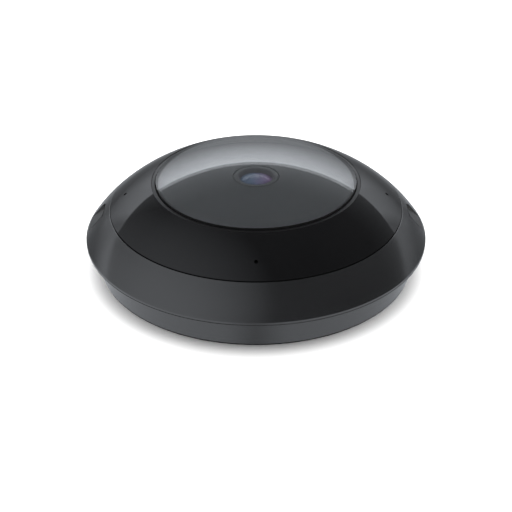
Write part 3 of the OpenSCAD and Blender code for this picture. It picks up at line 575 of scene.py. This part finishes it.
# %% Clear glass
SMEAR, SMEAR_ROUGH = 12 * MM, 0.004
FILM = (0.92, 0.93, 0.93, 1)
GLASSES = {
    "dome_clear": ((0.74, 0.75, 0.75, 1), 1.49),
    "filter_glass": ((0.6, 0.95, 0.9, 1), 1.5),
}


def clear_to_shadows(tree, shader, film):
    """The shader, but a clear film of the given colour for shadow rays."""
    clear = tree.add("ShaderNodeBsdfTransparent", {}, {"Color": film})
    return mix(tree, is_ray(tree, "Shadow"), shader, clear)


def clear_glass(name, colour, ior):
    material, tree, place = start_finish(name)
    sockets = {
        "Base Color": colour,
        "Roughness": SMEAR_ROUGH * noise(tree, place, SMEAR),
        "IOR": ior,
        "Transmission Weight": 1.0,
    }
    end_finish(tree, clear_to_shadows(tree, surface(tree, sockets), FILM))
    return material


finishes.update({name: clear_glass(name, *values) for name, values in GLASSES.items()})
print(len(GLASSES), "clear glasses")

# %% [markdown]
# ## Coated lens
# The front glass of a lens carries thin coatings. What light they still throw back is violet,
# bluer on one side, and it fills the glass evenly. A thin film in the shader gives rainbow rings
# instead, so that reflection is painted: a soft violet layer, bluer towards one side, is mixed
# into clear glass, with a narrow gloss near its middle for a painted highlight.

# %% Coated lens
LENS_IOR, LENS_MIRROR = 1.6, 0.03
PAINTED_SHEEN_SHARE, COATING_ROUGH, COATING_SPREAD = 0.6, 0.08, 0.05
# These colours are painted reflection: the violet the coatings throw back, bluer on one side.
PAINTED_SHEEN_BLUE, PAINTED_SHEEN_VIOLET = (0.066, 0.087, 0.127, 1), (0.117, 0.075, 0.146, 1)
PAINTED_SHEEN_TURNS = (-2 * MM, 7 * MM)
LENS_SMEAR = 5 * MM
GLINT_AT, GLINT_WIDTH = 0.6 * MM, (0.3 * MM, 0.9 * MM)
LENS_TINT, LENS_FILM = (0.92, 0.92, 1.0, 1), (0.9, 0.9, 0.95, 1)


def coated_lens(name):
    material, tree, place = start_finish(name)
    (x,) = axes(tree, place, 1)
    smear = noise(tree, place, LENS_SMEAR)
    glass = {
        "Base Color": LENS_TINT,
        "Roughness": SMEAR_ROUGH * smear,
        "Transmission Weight": 1.0,
    }
    # The coating layer is painted reflection, and its gloss strip places a painted highlight.
    painted_sheen = {
        "Base Color": x.ramp(*PAINTED_SHEEN_TURNS).blend(PAINTED_SHEEN_BLUE, PAINTED_SHEEN_VIOLET),
        "Roughness": COATING_ROUGH + COATING_SPREAD * smear,
        "Coat Weight": abs(x - GLINT_AT).fall(*GLINT_WIDTH),
    }
    both = {"IOR": LENS_IOR, "Specular IOR Level": LENS_MIRROR}
    layers = (surface(tree, {**layer, **both}) for layer in (glass, painted_sheen))
    end_finish(tree, clear_to_shadows(tree, mix(tree, PAINTED_SHEEN_SHARE, *layers), LENS_FILM))
    return material


finishes["lens_glass"] = coated_lens("lens_glass")
print("lens coated")

# %% [markdown]
# ## Metal
# Inside are a cast deck, plated screws, gold contacts and copper windings. Each is bare metal, so
# its colour is in its mirror, and clouds of a darker shade and a fine grain stand for handling
# and plating. Brushed lines would suit turned parts, but these are small, cast or stamped.

# %% Metal
METAL_CLOUD = 6 * MM
METAL_SHADES, METAL_SPREAD = (0.82, 1.1), 0.1
PLATED = (0.3 * MM, 0.003 * MM)
METALS = {
    "cast_aluminium": ((0.55, 0.56, 0.57), 0.45, 0.6 * MM, 0.02 * MM),
    "screw_steel": ((0.62, 0.63, 0.65), 0.3, *PLATED),
    "contact_gold": ((0.83, 0.6, 0.25), 0.22, *PLATED),
    "copper_wire": ((0.72, 0.36, 0.18), 0.35, *PLATED),
}


def metal(name, colour, rough, grain, depth):
    material, tree, place = start_finish(name)
    grains, clouds = noise(tree, place, grain, GRAIN_DETAIL), noise(tree, place, METAL_CLOUD)
    sockets = {
        "Base Color": clouds.blend(*shades(colour, *METAL_SHADES)),
        "Metallic": 1.0,
        "Roughness": rough + METAL_SPREAD * (grains - 0.5),
        "Normal": relief(tree, grains, depth),
    }
    end_finish(tree, surface(tree, sockets))
    return material


finishes.update({name: metal(name, *values) for name, values in METALS.items()})
print(len(METALS), "metals")

# %% [markdown]
# ## Dress the solids
# The record of the part names a slot for each piece, and the slot names its finish. A few pieces
# have a finish under their own name, and that one comes first. One finish for each piece would
# also work, but then a change of colour would have to be made many times.

# %% Dress the solids
for part in frame["record"]["subparts"]:
    shown = nodes[part["node"]].data
    shown.materials.clear()
    shown.materials.append(finishes.get(part["node"], finishes[part["material_slot"]]))
print(len(finishes), "finishes")

# %% [markdown]
# ## A finer dome
# The dome's mirror images show every facet, and the CAD mesh is coarse at the top. A section
# turned with many more points gives clean images. It is a thick ball cap whose two faces are
# parallel, with a small chamfer, a thin skirt and the flange that the window ring holds down.
# Chamfer, skirt and flange are painted black, dull on the chamfer and satin below it, which draws
# the thin black line round the dome.


# %% Lathe and round pieces
def lathe(section, turns):
    """Points and faces of a section of (radius, height) that starts and ends on the axis."""
    angles = [2 * math.pi * i / turns for i in range(turns)]
    points = [(0, 0, section[0][1])]
    for radius, level in section[1:-1]:
        points += [(radius * math.cos(a), radius * math.sin(a), level) for a in angles]
    points.append((0, 0, section[-1][1]))
    last = len(points) - 1
    faces = []
    for i in range(turns):
        j = (i + 1) % turns
        faces.append((0, 1 + i, 1 + j))
        for k in range(1, last - turns, turns):
            faces.append((k + i, k + turns + i, k + turns + j, k + j))
        faces.append((last - turns + i, last, last - turns + j))
    return points, faces


def smooth_piece(name, points, faces, paints):
    """A round piece with its finishes."""
    mesh = bpy.data.meshes.new(name)
    mesh.from_pydata(points, [], faces)
    mesh.shade_smooth()
    for paint in paints:
        mesh.materials.append(finishes[paint])
    piece = bpy.data.objects.new(name, mesh)
    scene.collection.objects.link(piece)
    return piece


print("lathe ready")

# %% Section of the dome
dome_low, dome_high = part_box("dome_cover")
DOME_SEAT, DOME_TOP = dome_low[2], dome_high[2]
DOME_R, DOME_SLOPE = 48.1 * MM, math.radians(23.5)
DOME_BALL = DOME_R / math.sin(DOME_SLOPE)
DOME_WALL = 3.4 * MM
DOME_SKIRT = 0.4 * MM
DOME_EDGE, DOME_DROP = 0.15 * MM, 0.08 * MM
FLANGE_R = DOME_R + 3.4 * MM
FLANGE_TOP = DOME_SEAT + 1.5 * MM
STEPS = 40


def cap(top, ball, radius):
    """Height of a ball of the given top at a distance from the axis."""
    return top - ball + math.sqrt(ball * ball - radius * radius)


under_r = DOME_R - DOME_SKIRT
skin_r = [(DOME_R - DOME_EDGE) * i / STEPS for i in range(STEPS + 1)]
inner_r = [under_r * i / STEPS for i in range(STEPS, -1, -1)]
section = [(r, cap(DOME_TOP, DOME_BALL, r)) for r in skin_r]
section += [
    (DOME_R, cap(DOME_TOP, DOME_BALL, DOME_R) - DOME_DROP),
    (DOME_R, FLANGE_TOP),
    (FLANGE_R, FLANGE_TOP),
    (FLANGE_R, DOME_SEAT),
    (under_r, DOME_SEAT),
]
section += [(r, cap(DOME_TOP - DOME_WALL, DOME_BALL - DOME_WALL, r)) for r in inner_r]
print("section of", len(section), "points")

# %% Dome
DOME_TURNS = 192
CREASE = math.radians(20)
CHAMFER_OUT = DOME_R - 0.03 * MM

dome_paints = ("dome_clear", "dull_black", "satin_black")
dome = smooth_piece("dome", *lathe(section, DOME_TURNS), dome_paints)
dome.data.set_sharp_from_angle(angle=CREASE)
for face in dome.data.polygons:
    radius = math.hypot(face.center.x, face.center.y)
    if radius > DOME_R - DOME_EDGE:
        face.material_index = 1 if radius < CHAMFER_OUT else 2
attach(dome, "camera")
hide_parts("dome_cover")
print("dome of", len(dome.data.polygons), "faces")

# %% [markdown]
# ## Two seal beads with painted shade
# A thin dark line of shade runs under the rim, and another under the foot of the base. What makes
# them can't be seen, so each is drawn as a soft dark round bead, painted shade that stands in for
# the shade in these gaps; a seal is usual in both places. The bead is a circle of points turned
# round the axis. A curve with a round bevel would give the same shape, but a mesh by formula is
# exact and closed.


# %% Beads
def bead(name, middle_r, level, thickness, paint, turns=256, sides=10):
    """A round ring that rides on the camera."""
    points, faces = [], []
    for i in range(turns):
        turn = 2 * math.pi * i / turns
        for k in range(sides):
            lean = 2 * math.pi * k / sides
            radius = middle_r + thickness / 2 * math.cos(lean)
            top = level + thickness / 2 * math.sin(lean)
            points.append((radius * math.cos(turn), radius * math.sin(turn), top))
            ahead, aside = (i + 1) % turns * sides, (k + 1) % sides
            faces.append((i * sides + k, ahead + k, ahead + aside, i * sides + aside))
    piece = smooth_piece(name, points, faces, (paint,))
    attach(piece, "camera")
    print(name, "of", len(faces), "faces")


RIM_UNDER = 15.2 * MM
RIM_SEAL_SHADE, RIM_SEAL_SHADE_IN, RIM_SEAL_SHADE_DROP = 0.66 * MM, 0.36 * MM, 0.27 * MM
FOOT_R = RIM_R - 6.4 * MM
FOOT_SEAL_SHADE, FOOT_SEAL_SHADE_IN, FOOT_SEAL_SHADE_Z = 0.7 * MM, 0.5 * MM, 0.42 * MM
# Both beads are dark rings of painted shade, one under the rim and one under the foot.
bead("rim_seal_shade_bead", RIM_R - RIM_SEAL_SHADE_IN, RIM_UNDER - RIM_SEAL_SHADE_DROP, RIM_SEAL_SHADE, "seal_rubber")
bead("foot_seal_shade_bead", FOOT_R - FOOT_SEAL_SHADE_IN, FOOT_SEAL_SHADE_Z, FOOT_SEAL_SHADE, "dull_black")
